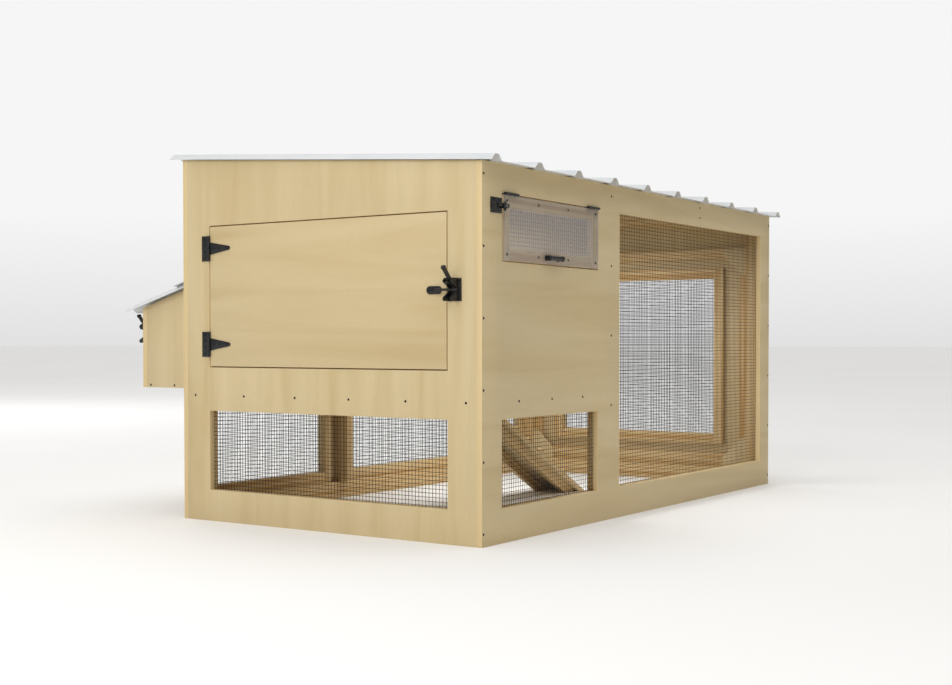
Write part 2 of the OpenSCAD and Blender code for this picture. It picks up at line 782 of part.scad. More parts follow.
module vent_frame() {
    x0 = window_x + door_gap;
    x1 = window_x1 - door_gap;
    z0 = vent_z0 + door_gap;
    z1 = vent_z1 - door_gap;
    color(pine_colour) {
        for (x = [x0, x1 - vent_rail]) block([x, 0, z0], [x + vent_rail, ply_t, z1]);
        for (z = [z0, z1 - vent_rail])
            block([x0 + vent_rail + butt_gap, 0, z],
                [x1 - vent_rail - butt_gap, ply_t, z + vent_rail]);
    }
}

module vent_pane() {
    color(pane_colour) block([window_x + door_gap, -pane_t, vent_z0 + door_gap],
        [window_x1 - door_gap, 0, vent_z1 - door_gap]);
}

module vent_screws() {
    pitch = (window_l - 2 * door_gap - 2 * (vent_rail / 2)) / 3;
    color(black_colour) rotate([90, 0, 0])
        for (i = [0 : 3], z = [vent_z0 + door_gap + vent_rail / 2, vent_z1 - 21])
            translate([window_x + door_gap + vent_rail / 2 + i * pitch, z, pane_t]) screw_head();
}

// Knuckles of a butt hinge along X; every other one belongs to each leaf
module knuckles(x0, length, r, odd) {
    step = length / 5;
    for (i = [0 : 4]) if ((i % 2 == 1) == odd)
        translate([x0 + i * step + 0.2, 0, 0]) rotate([0, 90, 0]) cylinder(r = r, h = step - 0.4);
}

// Fixed leaves of the vent hinges and of the ramp hinge, each with its pin
module butt_leaves() {
    color(black_colour) {
        for (x = vent_hinge_xs) {
            translate([0, vent_axis_y, vent_axis_z]) {
                knuckles(x, vent_hinge_l, 4, false);
                translate([x, 0, 0]) rotate([0, 90, 0]) cylinder(r = 2, h = vent_hinge_l);
            }
            for (i = [0, 2, 4]) block(
                [x + i * vent_hinge_l / 5 + 0.2, vent_axis_y, vent_z1 - vent_leaf_t],
                [x + (i + 1) * vent_hinge_l / 5 - 0.2, -2, vent_z1]);
            block([x, -2, vent_z1 - vent_leaf_t], [x + vent_hinge_l, ply_t - 1, vent_z1]);
        }
        translate([ramp_axis_x, (coop_w - ramp_leaf_l) / 2, ramp_axis_z]) rotate([0, 0, 90]) {
            knuckles(0, ramp_leaf_l, ramp_knuckle_r, false);
            rotate([0, 90, 0]) cylinder(r = 2, h = ramp_leaf_l);
        }
        block([part_x, (coop_w - ramp_leaf_l) / 2, ramp_axis_z + 4.5],
            [part_x + 2, (coop_w + ramp_leaf_l) / 2, ramp_axis_z + 30]);
        for (i = [0, 2, 4])
            block([part_x, (coop_w - ramp_leaf_l) / 2 + i * ramp_leaf_l / 5 + 0.2, ramp_axis_z],
                [part_x + 2, (coop_w - ramp_leaf_l) / 2 + (i + 1) * ramp_leaf_l / 5 - 0.2,
                    ramp_axis_z + 4.5]);
    }
}

module vent_leaves() {
    flap_top = vent_z1 - door_gap;
    color(black_colour) for (x = vent_hinge_xs) difference() {
        union() {
            translate([0, vent_axis_y, vent_axis_z]) knuckles(x, vent_hinge_l, 4, true);
            for (i = [1, 3]) block([x + i * vent_hinge_l / 5 + 0.2, vent_axis_y, flap_top],
                [x + (i + 1) * vent_hinge_l / 5 - 0.2, -pane_t, flap_top + vent_leaf_t]);
            block([x, -pane_t, flap_top],
                [x + vent_hinge_l, ply_t - 1, flap_top + vent_leaf_t]);
        }
        translate([x - cut, vent_axis_y, vent_axis_z]) rotate([0, 90, 0])
            cylinder(r = 2.05, h = vent_hinge_l + 2 * cut);
    }
}

// A bow handle: two feet and a waisted grip
module vent_handle() {
    mid_x = (window_x + window_x1) / 2 - 10;
    z = vent_z0 + door_gap + vent_rail / 2;
    grip_y = -pane_t - 15;
    color(black_colour) {
        for (side = [-1, 1]) translate([mid_x + side * 35, -pane_t, z]) rotate([90, 0, 0]) {
            cylinder(r = 9, h = 3);
            cylinder(r = 5.5, h = 15);
        }
        translate([mid_x, grip_y, z]) rotate([0, 90, 0]) rotate_extrude()
            polygon(concat([[0, -44], [7, -44]],
                [for (i = [-4 : 4]) [6.5 + 2.5 * pow(i / 4, 2), i * 10]], [[7, 44], [0, 44]]));
    }
}

module vent_keeper() {
    x0 = window_x + door_gap + 3;
    color(black_colour) difference() {
        union() {
            block([x0, -pane_t - 2, bolt_z - 14], [x0 + 9, -pane_t, bolt_z + 14]);
            translate([x0, bolt_y, bolt_z]) rotate([0, 90, 0]) cylinder(r = keeper_r, h = 9);
            block([x0, bolt_y, bolt_z - keeper_r], [x0 + 9, -pane_t, bolt_z + keeper_r]);
        }
        translate([x0 - cut, bolt_y, bolt_z]) rotate([0, 90, 0])
            cylinder(r = bolt_r + 0.8, h = 9 + 2 * cut);
    }
}

bolt_body_x0 = window_x - 64;
bolt_body_l = 60;

module vent_bolt_body() {
    color(black_colour) difference() {
        union() {
            block([bolt_body_x0, -2, bolt_z - 23], [bolt_body_x0 + bolt_body_l, 0, bolt_z + 23]);
            for (x = [bolt_body_x0 + 2, bolt_body_x0 + bolt_body_l - 10]) {
                translate([x, bolt_y, bolt_z]) rotate([0, 90, 0]) cylinder(r = 8, h = 8);
                block([x, bolt_y, bolt_z - 8], [x + 8, -1, bolt_z + 8]);
            }
        }
        translate([bolt_body_x0 - cut, bolt_y, bolt_z]) rotate([0, 90, 0])
            cylinder(r = bolt_r + 0.05, h = bolt_body_l + 2 * cut);
    }
}

module vent_bolt() {
    color(black_colour) {
        translate([bolt_body_x0 + 1, bolt_y, bolt_z]) rotate([0, 90, 0])
            cylinder(r = bolt_r, h = bolt_body_l);
        translate([bolt_body_x0 + 17, bolt_y, bolt_z]) rotate([90, 0, 0]) {
            cylinder(r = 3.5, h = 14);
            translate([0, 0, 14]) sphere(5);
        }
    }
}

// ---- Nest box ----

module nest_floor() {
    color(ply_colour) block([nest_in_x0, coop_w, floor_frame_top],
        [nest_in_x1, nest_inner_y1, floor_top]);
}

module nest_sides() {
    color(ply_colour) for (x = [window_x, nest_in_x1]) along_x(x, x + ply_t)
        polygon([[coop_w, floor_frame_top], [nest_inner_y1, floor_frame_top],
            [nest_inner_y1, nest_z(nest_inner_y1)], [coop_w, nest_wall_z]]);
}

module nest_front() {
    color(ply_colour) difference() {
        along_x(window_x, window_x1) polygon([[nest_inner_y1, floor_frame_top],
            [nest_y1, floor_frame_top], [nest_y1, nest_front_z],
            [nest_inner_y1, nest_z(nest_inner_y1)]]);
        block([nest_door_x0, nest_inner_y1 - cut, nest_door_z0],
            [nest_door_x1, nest_y1 + cut, nest_door_z1]);
    }
}

module nest_divider() {
    mid_x = (nest_in_x0 + nest_in_x1) / 2;
    drop = 20;
    color(ply_colour) along_x(mid_x - thin_ply_t / 2, mid_x + thin_ply_t / 2)
        polygon([[coop_w, floor_top], [nest_inner_y1, floor_top],
            [nest_inner_y1, nest_z(nest_inner_y1) - drop], [coop_w, nest_wall_z - drop]]);
}

module nest_lip() {
    color(pine_colour) block([nest_in_x0, inner_back - strip_t, floor_top],
        [nest_in_x1, inner_back, floor_top + stud_w]);
}

module nest_door() {
    color(ply_colour) block([nest_door_x0 + door_gap, nest_inner_y1, nest_door_z0 + door_gap],
        [nest_door_x1 - door_gap, nest_y1, nest_door_z1 - door_gap]);
}

module on_nest_roof() {
    translate([window_x - nest_verge, coop_w, nest_wall_z + roof_seat])
        rotate([-nest_slope, 0, 0]) children();
}

module nest_roof() {
    under = concat([[0, 0]], rib_points(rib_foot / 2 + 1, 0),
        rib_points(rib_foot / 2 + 1 + rib_pitch, 0),
        rib_points(rib_foot / 2 + 1 + 2 * rib_pitch, 0), [[nest_roof_w, 0]]);
    color(steel_colour) on_nest_roof() translate([0, nest_roof_l, 0]) rotate([90, 0, 0])
        linear_extrude(nest_roof_l) sheet_profile(under);
}

// Apron flashing: one leg up the wall, one down the slope over the ribs
module nest_flashing() {
    z0 = nest_wall_z + (rib_h + sheet_t + 2 * roof_seat) / cos(nest_slope);
    reach = 137;
    leg = 45;
    fall = reach * tan(nest_slope);
    t = sheet_t + 0.4;
    color(steel_colour) along_x(window_x - nest_verge, window_x1 + nest_verge)
        polygon([[coop_w, z0], [coop_w + reach, z0 - fall], [coop_w + reach, z0 - fall + t],
            [coop_w + t, z0 + t], [coop_w + t, z0 + leg], [coop_w, z0 + leg]]);
}

// ---- Ramp ----

// Drawn from the hinge axis with X down the ramp, and cut off level at the ground
module on_ramp() {
    intersection() {
        translate([ramp_axis_x, coop_w / 2, ramp_axis_z]) rotate([0, ramp_angle, 0]) children();
        block([0, 0, ramp_clear], [coop_l, coop_w, front_h]);
    }
}

module ramp_board() {
    color(ply_colour) on_ramp() block([ramp_start, -ramp_w / 2, -ramp_knuckle_r - ramp_t],
        [ramp_len, ramp_w / 2, -ramp_knuckle_r]);
}

module ramp_battens() {
    z1 = -ramp_knuckle_r - ramp_t;
    color(pine_colour) on_ramp() for (side = [-1, 1])
        block([60, side * ramp_w / 3 - strip_t / 2, z1 - stud_t],
            [ramp_len, side * ramp_w / 3 + strip_t / 2, z1]);
}

module ramp_cleats() {
    count = floor((ramp_len - 110) / cleat_pitch);
    r = cleat_t / 2;
    color(pine_colour) on_ramp() for (i = [0 : count - 1])
        translate([70 + i * cleat_pitch, 0, -ramp_knuckle_r]) rotate([90, 0, 0])
            translate([0, 0, -ramp_w / 2]) linear_extrude(ramp_w) {
                square([cleat_w, cleat_t - r]);
                translate([r, 0]) square([cleat_w - 2 * r, cleat_t]);
                for (x = [r, cleat_w - r]) translate([x, cleat_t - r]) circle(r);
            }
}

module ramp_leaf() {
    step = ramp_leaf_l / 5;
    color(black_colour) on_ramp() difference() {
        union() {
            translate([0, -ramp_leaf_l / 2, 0]) rotate([0, 0, 90])
                knuckles(0, ramp_leaf_l, ramp_knuckle_r, true);
            block([8, -ramp_leaf_l / 2, -ramp_knuckle_r], [50, ramp_leaf_l / 2, 2 - ramp_knuckle_r]);
            for (i = [1, 3]) block([0, -ramp_leaf_l / 2 + i * step + 0.2, -ramp_knuckle_r],
                [8, -ramp_leaf_l / 2 + (i + 1) * step - 0.2, 2 - ramp_knuckle_r]);
        }
        rotate([-90, 0, 0]) translate([0, 0, -ramp_leaf_l / 2 - cut])
            cylinder(r = 2.05, h = ramp_leaf_l + 2 * cut);
    }
}

place() front_panel();
place() back_panel();
place() end_panel();
place() run_end_panel();
place() base_rails();
place() posts();
place() floor_frame();
place() house_floor();
place() partition_panel();
place() rafters();
place() eave_blocks();
place() opening_strips();
place() corner_gussets();
place() roof_sheet_1();
place() roof_sheet_2();
place() roof_sheet_3();
place() roof_screws();
place() wall_screws();
place() window_meshes();
place() run_meshes();
place() vent_mesh();
place() hinge_plates();
place() hinge_pins();
place() butt_leaves();
place() latch_bodies();
place() clean_out_door();
place() clean_out_straps();
place() clean_out_striker();
place() clean_out_arm();
place() nest_floor();
place() nest_sides();
place() nest_front();
place() nest_divider();
place() nest_lip();
place() nest_roof();
place() nest_flashing();
place() nest_door();
place() nest_straps();
place() nest_striker();
place() nest_arm();
place() vent_frame();
place() vent_pane();
place() vent_leaves();
place() vent_screws();
place() vent_handle();
place() vent_keeper();
place() vent_bolt_body();
place() vent_bolt();
place() run_door_ring();
place() run_door_frame();
place() run_door_mesh();
place() run_door_straps();
place() run_door_striker();
place() run_door_arm();
place() ramp_board();
place() ramp_battens();
place() ramp_cleats();
place() ramp_leaf();
place() roost_rails();
place() roost_bars();
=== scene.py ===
"""Looks of a plywood chicken coop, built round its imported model.

Metres. X runs along the long side, Y from the low front to the high back with the nest box, Z up.
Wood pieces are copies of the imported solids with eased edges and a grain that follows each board.
Wire mesh, roof sheets and screws are worked out as whole numpy arrays.
"""
import json
import math

import bmesh
import bpy
import numpy as np
from mathutils import Matrix, Vector


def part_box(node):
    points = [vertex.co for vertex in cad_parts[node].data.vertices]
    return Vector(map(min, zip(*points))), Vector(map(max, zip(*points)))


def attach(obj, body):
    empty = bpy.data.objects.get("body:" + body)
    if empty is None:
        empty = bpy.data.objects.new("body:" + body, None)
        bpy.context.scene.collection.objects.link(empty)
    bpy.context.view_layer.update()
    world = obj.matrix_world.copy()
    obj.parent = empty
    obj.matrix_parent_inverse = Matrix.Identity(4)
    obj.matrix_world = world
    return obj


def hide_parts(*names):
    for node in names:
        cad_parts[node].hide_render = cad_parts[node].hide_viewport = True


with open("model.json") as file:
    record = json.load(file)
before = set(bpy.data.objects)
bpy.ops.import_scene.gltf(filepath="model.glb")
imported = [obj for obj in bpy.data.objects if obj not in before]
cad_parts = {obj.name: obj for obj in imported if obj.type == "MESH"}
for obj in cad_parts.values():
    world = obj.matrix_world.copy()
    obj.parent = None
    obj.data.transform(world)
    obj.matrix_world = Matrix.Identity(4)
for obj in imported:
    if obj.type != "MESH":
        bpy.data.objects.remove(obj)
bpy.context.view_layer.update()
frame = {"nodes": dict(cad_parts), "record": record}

BODIES = frame["record"]["behaviour"]["bodies"]
BODY_OF = {node: body for body, members in BODIES.items() for node in members}

# Wire cloth: half-inch squares of 1.07 mm wire (19 gauge), 1.5 mm thick with its vinyl coat
WIRE_PITCH = 0.0127
WIRE_RADIUS = 0.00075
WIRE_SIDES = 8

# How far each layer of wires stands off its panel's middle, and how far it stops short of the rim
WIRE_STEP = 0.42 * 2 * WIRE_RADIUS
WIRE_SHORT = 0.002

# Ribbed roof sheet, as rolled
RIB_PITCH = 0.2404
RIB_HEIGHT = 0.019
RIB_FOOT = 0.056
RIB_CREST = 0.019
SHEET_THICK = 0.0008
SHEET_HEIGHT = RIB_HEIGHT + SHEET_THICK
FOLD_RADIUS = 0.0035

# Roof: sheets, rib spacings that each covers, how far the ribs stand off centre along X, and the
# gap between the sheets and the walls
ROOF_SHEETS = 3
SHEET_SPACINGS = 3
RIBS = ROOF_SHEETS * SHEET_SPACINGS + 1
FIRST_RIB_SHIFT = 0.01
ROOF_SEAT = 0.00015

# Where a sheet laps: its gap, its flat lip, and how much wider its rib is; then the flat past the
# last rib
LAP_GAP = 0.0001
LAP_PAN = 0.012
LAP_SPREAD = 0.001
LAST_PAN = 0.004

# Nest roof: its ribs, and the flat before the first
NEST_RIBS = 3
NEST_EDGE = 0.001

# T-hinges at full size: knuckle radius, leaf thickness, and screw places from the hinge's axis;
# the nest door's are smaller
NEST_HINGE_SCALE = 0.7
KNUCKLE = 0.005
LEAF_THICK = 0.0025
STRAP_SCREWS = (0.020, 0.046, 0.078)
PLATE_SCREW_OUT = 0.021
PLATE_SCREWS = (-0.032, -0.011, 0.011, 0.032)

# Latches: plate thickness, and screw places from the middle of the plate
LATCH_THICK = 0.003
LATCH_SCREW_SIDE = 0.0198
LATCH_SCREW_UP = 0.026
STRIKER_SCREWS = (0.0760, 0.0930)

# Vent bolt's plate: its thickness, and how far its screws stand in from its edges
BOLT_THICK = 0.002
BOLT_SCREW_IN_X = 0.016
BOLT_SCREW_IN_Z = 0.007

# Radius and height of the screw heads
LATCH_HEAD = (0.0034, 0.0011)
HINGE_HEAD = (0.0036, 0.0010)
WALL_HEAD = (0.004, 0.0013)
BOLT_HEAD = (0.0028, 0.0009)

# A screw that stands further out of the back wall than this is on the nest box
NEST_SCREW_OUT = 0.005

# Directions out of the walls, and along them
NEAR_OUT = (-1.0, 0.0, 0.0)
FAR_OUT = ALONG_X = (1.0, 0.0, 0.0)
FRONT_OUT = (0.0, -1.0, 0.0)
BACK_OUT = ALONG_Y = (0.0, 1.0, 0.0)

# How far edges are rounded: sanded plywood, planed pine, pressed steel and cut clear sheet
PLYWOOD_EASE = 0.0007
PINE_EASE = 0.0016
STEEL_EASE = 0.0004
CLEAR_EASE = 0.0005

# Where each board's grain lies, at random between two ends: how far along the wood it starts, and
# for a sawn board the share of its width where the log's heart is, and how deep the heart lies
WOOD_SEED = 7
GRAIN_START = (0.02, 3.0)
HEART_SHARE = (0.2, 0.8)
HEART_DEPTH = (0.012, 0.07)

FLOOR_HALF = 150.0


# ---- Colours and nodes ----

def linear(code):
    """An sRGB hex colour as the linear colour that a shader takes."""
    srgb = np.array([int(code[i:i + 2], 16) for i in (1, 3, 5)]) / 255
    low = srgb / 12.92
    high = ((srgb + 0.055) / 1.055) ** 2.4
    return tuple(np.where(srgb <= 0.04045, low, high)) + (1.0,)


def add(tree, kind, sockets=None, **settings):
    """Adds a node with its own settings, and links or sets its sockets by name or number."""
    node = tree.nodes.new("ShaderNode" + kind)
    for key, value in settings.items():
        setattr(node, key, value)
    for key, value in (sockets or {}).items():
        if isinstance(value, bpy.types.NodeSocket):
            tree.links.new(value, node.inputs[key])
        else:
            node.inputs[key].default_value = value
    return node


def new_material(name):
    """An empty node material, its tree and its output node."""
    made = bpy.data.materials.new(name)
    made.use_nodes = True
    made.node_tree.nodes.clear()
    return made, made.node_tree, add(made.node_tree, "OutputMaterial")


def attribute(tree, name):
    """A node that reads a mesh attribute."""
    return add(tree, "Attribute", attribute_name=name)


def ramp(tree, factor, stops):
    """A colour ramp through (position, hex colour) stops."""
    node = add(tree, "ValToRGB", {"Fac": factor})
    elements = node.color_ramp.elements
    while len(elements) < len(stops):
        elements.new(0.5)
    for element, (place, code) in zip(elements, stops):
        element.position = place
        element.color = linear(code)
    return node.outputs["Color"]


def stretched_noise(tree, vector, scale, detail=3.0, distortion=0.0):
    """Noise with its own number of features a metre along each axis of the vector."""
    placed = add(tree, "Mapping", {"Vector": vector, "Scale": scale})
    return add(tree, "TexNoise", {"Vector": placed.outputs[0], "Scale": 1.0, "Detail": detail,
                                  "Distortion": distortion}).outputs["Fac"]


def value_range(tree, value, low, high):
    """A 0 to 1 value carried to low to high."""
    return add(tree, "MapRange", {"Value": value, "To Min": low, "To Max": high}).outputs[0]


def blend_colour(tree, factor, a, b):
    """Colour a carried toward colour b by a factor. The Mix node's colours are its sockets 6 and 7
    going in and 2 coming out."""
    return add(tree, "Mix", {0: factor, 6: a, 7: b}, data_type="RGBA").outputs[2]


def bump(tree, height, distance, strength):
    """A normal bent by a 0 to 1 height that stands for so many metres."""
    return add(tree, "Bump", {"Height": height, "Distance": distance,
                              "Strength": strength}).outputs["Normal"]


# ---- Materials ----

def object_place(tree):
    """The object's own coordinates, in metres."""
    return add(tree, "TexCoord").outputs["Object"]


def surface(tree, out, **sockets):
    """A principled shader with these sockets, given by name with _ for each space, as the
    surface."""
    named = {key.replace("_", " "): value for key, value in sockets.items()}
    shader = add(tree, "BsdfPrincipled", named)
    tree.links.new(shader.outputs[0], out.inputs["Surface"])


def plywood_material():
    """Birch-faced plywood, sanded and clear sealed: a rotary-cut face with a soft wide figure and
    fine fibres, and on the cut edges the layers, 2 mm each, by turns along and across the grain."""
    made, tree, out = new_material("sealed_plywood")
    board = attribute(tree, "board").outputs["Vector"]
    tone = attribute(tree, "tone").outputs["Fac"]
    rim = attribute(tree, "rim").outputs["Fac"]
    depth = add(tree, "SeparateXYZ", {"Vector": board}).outputs["Z"]
    figure = stretched_noise(tree, board, (0.9, 9.0, 9.0), 4.0, 0.8)
    fibres = stretched_noise(tree, board, (22.0, 420.0, 420.0), 3.0)
    mottle = stretched_noise(tree, board, (70.0, 90.0, 90.0), 4.0)
    face = ramp(tree, figure, ((0.30, "#CBB587"), (0.50, "#D6C297"), (0.72, "#DECBA2")))
    face = blend_colour(tree, value_range(tree, mottle, 0.0, 0.30), face, linear("#C4AE80"))
    face = blend_colour(tree, value_range(tree, fibres, 0.0, 0.22), face, linear("#B99F6E"))
    layer = add(tree, "Math", {0: depth, 1: 1 / 0.004}, operation="MULTIPLY").outputs[0]
    layer = add(tree, "Math", {0: layer}, operation="FRACT").outputs[0]
    edge = ramp(tree, layer, ((0.44, "#F1DDAF"), (0.50, "#C9A972"), (0.94, "#BF9D66"),
                              (1.0, "#EAD3A2")))
    grit = stretched_noise(tree, board, (160.0, 160.0, 900.0), 3.0)
    edge = blend_colour(tree, value_range(tree, grit, 0.0, 0.45), edge, linear("#E2C993"))
    colour = blend_colour(tree, rim, face, edge)
    colour = blend_colour(tree, value_range(tree, tone, 0.0, 0.10), colour, linear("#B89B66"))
    height = add(tree, "Math", {0: fibres, 1: grit}, operation="ADD").outputs[0]
    surface(tree, out, Base_Color=colour, Roughness=value_range(tree, fibres, 0.48, 0.66),
            IOR=1.5, Normal=bump(tree, height, 0.0001, 0.5))
    return made


def pine_material():
    """Planed pine: growth rings about 7 mm apart that show as lines along a board, arches where
    it was cut flat and arcs on its ends, with darker late wood, fine pores and a few knots."""
    made, tree, out = new_material("planed_pine")
    board = attribute(tree, "board").outputs["Vector"]
    tone = attribute(tree, "tone").outputs["Fac"]
    log = add(tree, "Mapping", {"Vector": board, "Scale": (0.035, 1.0, 1.0)}).outputs[0]
    rings = add(tree, "TexWave", {
        "Vector": log, "Scale": 44.0, "Distortion": 11.0, "Detail": 2.0, "Detail Scale": 0.30,
        "Detail Roughness": 0.5}, wave_type="RINGS", rings_direction="X").outputs["Fac"]
    fibres = stretched_noise(tree, board, (14.0, 520.0, 520.0), 3.0)
    knots = add(tree, "Mapping", {"Vector": board, "Scale": (2.6, 9.0, 9.0)}).outputs[0]
    knots = add(tree, "TexVoronoi", {"Vector": knots, "Scale": 1.0}).outputs["Distance"]
    knots = ramp(tree, knots, ((0.0, "#FFFFFF"), (0.07, "#909090"), (0.12, "#000000")))
    wood = ramp(tree, rings, ((0.0, "#E2CA9A"), (0.50, "#DDC391"), (0.82, "#CFAD74"),
                              (1.0, "#C39B60")))
    wood = blend_colour(tree, value_range(tree, fibres, 0.0, 0.30), wood, linear("#BD9A62"))
    wood = blend_colour(tree, knots, wood, linear("#8A5A2E"))
    wood = blend_colour(tree, value_range(tree, tone, 0.0, 0.28), wood, linear("#B28F57"))
    surface(tree, out, Base_Color=wood, Roughness=value_range(tree, fibres, 0.52, 0.72),
            IOR=1.5, Normal=bump(tree, fibres, 0.00012, 0.6))
    return made


def roof_steel_material():
    """Coil-coated steel sheet in light grey polyester: satin, slightly uneven in gloss, with the
    faint dust that rain leaves in streaks down the slope, and a fine grain in the paint."""
    made, tree, out = new_material("coated_roof_steel")
    place = object_place(tree)
    streaks = stretched_noise(tree, place, (55.0, 2.2, 2.2), 4.0, 0.3)
    clouds = stretched_noise(tree, place, (5.0, 5.0, 5.0), 3.0)
    grain = stretched_noise(tree, place, (900.0, 900.0, 900.0), 2.0)
    colour = ramp(tree, clouds, ((0.3, "#CDD0D1"), (0.7, "#DADCDC")))
    colour = blend_colour(tree, value_range(tree, streaks, -0.10, 0.34), colour,
                          linear("#B2B4B2"))
    surface(tree, out, Base_Color=colour, Roughness=value_range(tree, streaks, 0.26, 0.46),
            IOR=1.5, Normal=bump(tree, grain, 0.00003, 0.35))
    return made


def black_coat_material():
    """Black powder coat on pressed steel: half gloss over an orange peel of about 1 mm, greyer
    where hands and the striker rub it."""
    made, tree, out = new_material("black_powder_coat")
    place = object_place(tree)
    peel = stretched_noise(tree, place, (950.0, 950.0, 950.0), 2.0)
    rub = stretched_noise(tree, place, (60.0, 60.0, 60.0), 4.0)
    colour = ramp(tree, rub, ((0.35, "#0D0D0E"), (0.62, "#151516"), (0.80, "#232324")))
    surface(tree, out, Base_Color=colour, Roughness=value_range(tree, rub, 0.34, 0.56),
            IOR=1.5, Normal=bump(tree, peel, 0.00006, 0.5))
    return made


def wire_material():
    """Welded steel wire dipped in black vinyl: a soft half-gloss black, with a dusty bloom that
    weather leaves in patches."""
    made, tree, out = new_material("vinyl_coated_wire")
    place = object_place(tree)
    bloom = stretched_noise(tree, place, (40.0, 40.0, 40.0), 3.0)
    colour = ramp(tree, bloom, ((0.3, "#0E0E0F"), (0.6, "#151617"), (0.8, "#2A2A2A")))
    surface(tree, out, Base_Color=colour, Roughness=value_range(tree, bloom, 0.36, 0.60),
            IOR=1.53)
    return made


def clear_sheet_material():
    """Smoke-tinted polycarbonate sheet: the frame and wire behind show through a grey haze, with
    fine scuffs that run along the sheet. Light crosses both faces, so each hides under a third."""
    made, tree, out = new_material("smoked_polycarbonate")
    place = object_place(tree)
    scuffs = stretched_noise(tree, place, (18.0, 200.0, 420.0), 3.0)
    colour = ramp(tree, scuffs, ((0.3, "#C0C1C2"), (0.7, "#CACBCB")))
    surface(tree, out, Base_Color=colour, Roughness=value_range(tree, scuffs, 0.08, 0.24),
            IOR=1.58, Alpha=0.30)
    return made


def screw_material():
    """Black phosphated screws: a dull, slightly brown black."""
    made, tree, out = new_material("phosphated_screw")
    place = object_place(tree)
    specks = stretched_noise(tree, place, (700.0, 700.0, 700.0), 2.0)
    colour = ramp(tree, specks, ((0.3, "#141312"), (0.7, "#26231F")))
    surface(tree, out, Base_Color=colour, Metallic=0.6,
            Roughness=value_range(tree, specks, 0.4, 0.6))
    return made


PLYWOOD = plywood_material()
PINE = pine_material()
ROOF_STEEL = roof_steel_material()
BLACK_COAT = black_coat_material()
WIRE = wire_material()
CLEAR_SHEET = clear_sheet_material()
SCREW = screw_material()

# Each wood's material, and how far its edges are rounded
WOODS = {"plywood": (PLYWOOD, PLYWOOD_EASE), "pine": (PINE, PINE_EASE)}
SLOT_OF = {entry["node"]: entry["material_slot"] for entry in frame["record"]["subparts"]}


# ---- Meshes ----

def piece_from(name, vertices, faces, body, material, replaced):
    """A smooth-shaded piece from an array of vertices and a list of faces."""
    mesh = bpy.data.meshes.new(name)
    mesh.from_pydata(vertices.tolist(), [], faces)
    mesh.polygons.foreach_set("use_smooth", np.ones(len(mesh.polygons), bool))
    return finish_piece(name, mesh, body, material, replaced)


def finish_piece(name, mesh, body, material, replaced):
    """An object for a mesh, with its material and body; the nodes it stands in for are hidden."""
    mesh.materials.append(material)
    piece = bpy.data.objects.new(name, mesh)
    bpy.context.scene.collection.objects.link(piece)
    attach(piece, body)
    if replaced:
        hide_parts(*replaced)
    return piece


def coordinates(mesh):
    """The vertices' places, one row each."""
    places = np.empty(len(mesh.vertices) * 3)
    mesh.vertices.foreach_get("co", places)
    return places.reshape(-1, 3)


def solid_labels(mesh):
    """Numbers each vertex by the solid it belongs to: the lowest vertex number spreads along the
    edges until nothing changes."""
    edges = np.empty(len(mesh.edges) * 2, int)
    mesh.edges.foreach_get("vertices", edges)
    a, b = edges.reshape(-1, 2).T
    label = np.arange(len(mesh.vertices))
    while True:
        low = np.minimum(label[a], label[b])
        spread = label.copy()
        np.minimum.at(spread, a, low)
        np.minimum.at(spread, b, low)
        spread = spread[spread]
        if (spread == label).all():
            return np.unique(label, return_inverse=True)[1]
        label = spread


def corners(places, label):
    """The lowest and highest corner of the places under each label."""
    low = np.full((label.max() + 1, 3), np.inf)
    high = -low
    np.minimum.at(low, label, places)
    np.maximum.at(high, label, places)
    return low, high


def merged_copy(node):
    """A CAD node's triangles joined into whole flat faces, as a bmesh."""
    made = bmesh.new()
    made.from_mesh(frame["nodes"][node].data)
    bmesh.ops.remove_doubles(made, verts=made.verts, dist=2e-5)
    bmesh.ops.dissolve_limit(made, angle_limit=math.radians(0.5), verts=made.verts,
                             edges=made.edges)
    return made


def packed_boxes(node):
    """The lowest and highest corners of a CAD node's solids."""
    made = merged_copy(node)
    mesh = bpy.data.meshes.new("measured")
    made.to_mesh(mesh)
    made.free()
    low, high = corners(coordinates(mesh), solid_labels(mesh))
    bpy.data.meshes.remove(mesh)
    return low, high


def box_corners(node):
    """A CAD node's lowest and highest corner, as arrays."""
    low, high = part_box(node)
    return np.array(low), np.array(high)


def eased(node, ease):
    """A copy of a CAD node with every edge that turns by more than 30 degrees rounded by ease."""
    made = merged_copy(node)
    limit = math.radians(30)
    sharp = [e for e in made.edges if e.is_manifold and e.calc_face_angle() > limit]
    bmesh.ops.bevel(made, geom=sharp, offset=ease, segments=2, profile=0.5, affect="EDGES",
                    clamp_overlap=True)
    for face in made.faces:
        face.smooth = True
    for edge in made.edges:
        edge.smooth = edge.is_manifold and edge.calc_face_angle() < limit
    mesh = bpy.data.meshes.new(node + "_eased")
    made.to_mesh(mesh)
    made.free()
    return mesh


